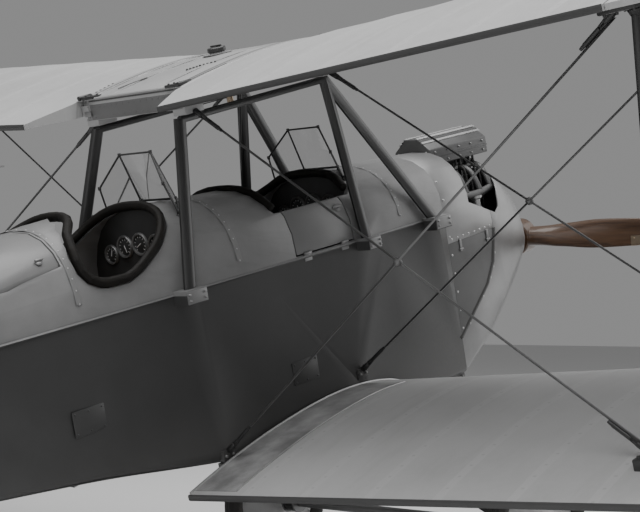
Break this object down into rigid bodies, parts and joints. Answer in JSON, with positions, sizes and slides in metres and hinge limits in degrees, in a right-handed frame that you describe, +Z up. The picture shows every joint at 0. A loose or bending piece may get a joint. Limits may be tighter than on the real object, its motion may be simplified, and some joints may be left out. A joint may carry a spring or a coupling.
{
  "type": "two-seat biplane",
  "caption": "Light two-seat biplane with open tandem cockpits, upright in-line engine, wire-braced wings and a steerable tailskid, parked on its wheels.",
  "frame": {"origin": "on the floor, below the middle of the parked aeroplane's length and span", "axes": "+Z up, nose towards -Y, port wing towards +X; parked nose-up on wheels and tailskid"},
  "size_m": [8.968, 7.0288, 2.6412],
  "materials": {
    "wing_fabric": "doped fabric, silver, satin",
    "tail_fabric": "doped fabric, silver, satin",
    "body_skin": "plywood and fabric, dark enamel sides, silver decking",
    "decking": "silver enamel",
    "cowling": "satin, hand polished",
    "tank": "silver enamel",
    "engine_metal": "black enamel and bare fins",
    "exhaust_steel": "heat stained",
    "propeller_wood": "varnished laminated wood",
    "bare_steel": "satin",
    "wire_steel": "drawn wire",
    "strut_paint": "dark enamel over wood and tube",
    "tyre_rubber": "worn",
    "wheel_cover": "silver disc cover",
    "screen": "clear",
    "coaming_leather": "padded, worn",
    "seat_wood": "varnished plywood",
    "panel_black": "black board",
    "skid_steel": "worn"
  },
  "bodies": {
    "root": {"fuselage": "body_skin", "coaming_rear": "coaming_leather", "coaming_front": "coaming_leather", "seat_front": "seat_wood", "seat_rear": "seat_wood", "panel_front": "panel_black", "panel_rear": "panel_black", "stick_front": "bare_steel", "stick_rear": "bare_steel", "windscreen_front": "screen", "windscreen_rear": "screen", "cowl_lower_left": "cowling", "cowl_lower_right": "cowling", "cowl_upper": "cowling", "nose_cowl": "cowling", "engine": "engine_metal", "head_cover": "cowling", "exhaust_pipe": "exhaust_steel", "upper_wing_left": "wing_fabric", "upper_wing_right": "wing_fabric", "lower_wing_left": "wing_fabric", "lower_wing_right": "wing_fabric", "centre_section": "tank", "strut_front_left": "strut_paint", "wires_front_left": "wire_steel", "strut_rear_left": "strut_paint", "wires_rear_left": "wire_steel", "strut_front_right": "strut_paint", "wires_front_right": "wire_steel", "strut_rear_right": "strut_paint", "wires_rear_right": "wire_steel", "cabane_left": "strut_paint", "cabane_right": "strut_paint", "gear_leg_left": "strut_paint", "gear_leg_right": "strut_paint", "axle": "bare_steel", "tailplane": "tail_fabric", "tail_stay_left": "bare_steel", "tail_stay_right": "bare_steel", "fin": "tail_fabric"},
    "propeller": {"propeller": "propeller_wood", "propeller_hub": "bare_steel"},
    "wheel_left": {"wheel_left": "wheel_cover", "tyre_left": "tyre_rubber"},
    "wheel_right": {"wheel_right": "wheel_cover", "tyre_right": "tyre_rubber"},
    "rudder": {"rudder": "tail_fabric"},
    "elevator": {"elevator_left": "tail_fabric", "elevator_right": "tail_fabric"},
    "tailskid": {"tailskid": "skid_steel"},
    "upper_aileron_left": {"upper_aileron_left": "wing_fabric"},
    "upper_aileron_right": {"upper_aileron_right": "wing_fabric"},
    "lower_aileron_left": {"lower_aileron_left": "wing_fabric"},
    "lower_aileron_right": {"lower_aileron_right": "wing_fabric"},
    "front_cockpit_door": {"front_cockpit_door": "decking"},
    "locker_lid": {"locker_lid": "decking"}
  },
  "joints": [
    {"name": "propeller_spin", "type": "hinge", "parent": "root", "child": "propeller", "pos_m": [0, -3.42833, 1.64889], "axis": [0, -0.9728, 0.2317], "continuous": true},
    {"name": "wheel_left_roll", "type": "hinge", "parent": "root", "child": "wheel_left", "pos_m": [0.79, -2.46569, 0.33], "axis": [1, 0, 0], "continuous": true},
    {"name": "wheel_right_roll", "type": "hinge", "parent": "root", "child": "wheel_right", "pos_m": [-0.79, -2.46569, 0.33], "axis": [1, 0, 0], "continuous": true},
    {"name": "rudder_turn", "type": "hinge", "parent": "root", "child": "rudder", "pos_m": [0, 3.04133, 0.4474], "axis": [0, 0.2317, 0.9728], "range_deg": [-24, 24]},
    {"name": "tailskid_turn", "type": "hinge", "parent": "root", "child": "tailskid", "pos_m": [0, 2.81016, 0.29685], "axis": [0, 0.2317, 0.9728], "range_deg": [-20, 20]},
    {"name": "elevator_tilt", "type": "hinge", "parent": "root", "child": "elevator", "pos_m": [0.06, 2.91255, 0.46778], "axis": [1, 0, 0], "range_deg": [-22, 28]},
    {"name": "upper_aileron_left_tilt", "type": "hinge", "parent": "root", "child": "upper_aileron_left", "pos_m": [3.18532, -0.81511, 2.264], "axis": [0.998, 0.0145, 0.0611], "range_deg": [-20, 20]},
    {"name": "upper_aileron_right_tilt", "type": "hinge", "parent": "root", "child": "upper_aileron_right", "pos_m": [-3.18532, -0.81511, 2.264], "axis": [0.998, -0.0145, -0.0611], "range_deg": [-20, 20]},
    {"name": "lower_aileron_left_tilt", "type": "hinge", "parent": "root", "child": "lower_aileron_left", "pos_m": [3.18439, -1.03399, 0.81637], "axis": [0.998, 0.0145, 0.0611], "range_deg": [-20, 20]},
    {"name": "lower_aileron_right_tilt", "type": "hinge", "parent": "root", "child": "lower_aileron_right", "pos_m": [-3.18439, -1.03399, 0.81637], "axis": [0.998, -0.0145, -0.0611], "range_deg": [-20, 20]},
    {"name": "front_cockpit_door_drop", "type": "hinge", "parent": "root", "child": "front_cockpit_door", "pos_m": [-0.33184, -1.6311, 1.52517], "axis": [0, -0.9728, 0.2317], "range_deg": [0, 170]},
    {"name": "locker_lid_lift", "type": "hinge", "parent": "root", "child": "locker_lid", "pos_m": [0.172, -0.0576, 1.44182], "axis": [0, 0.9442, -0.3293], "range_deg": [0, 80]}
  ],
  "couplings": [
    {"joint": "tailskid_turn", "follows": "rudder_turn", "ratio": 0.8},
    {"joint": "lower_aileron_left_tilt", "follows": "upper_aileron_left_tilt", "ratio": 1},
    {"joint": "upper_aileron_right_tilt", "follows": "upper_aileron_left_tilt", "ratio": -1},
    {"joint": "lower_aileron_right_tilt", "follows": "upper_aileron_left_tilt", "ratio": -1}
  ]
}
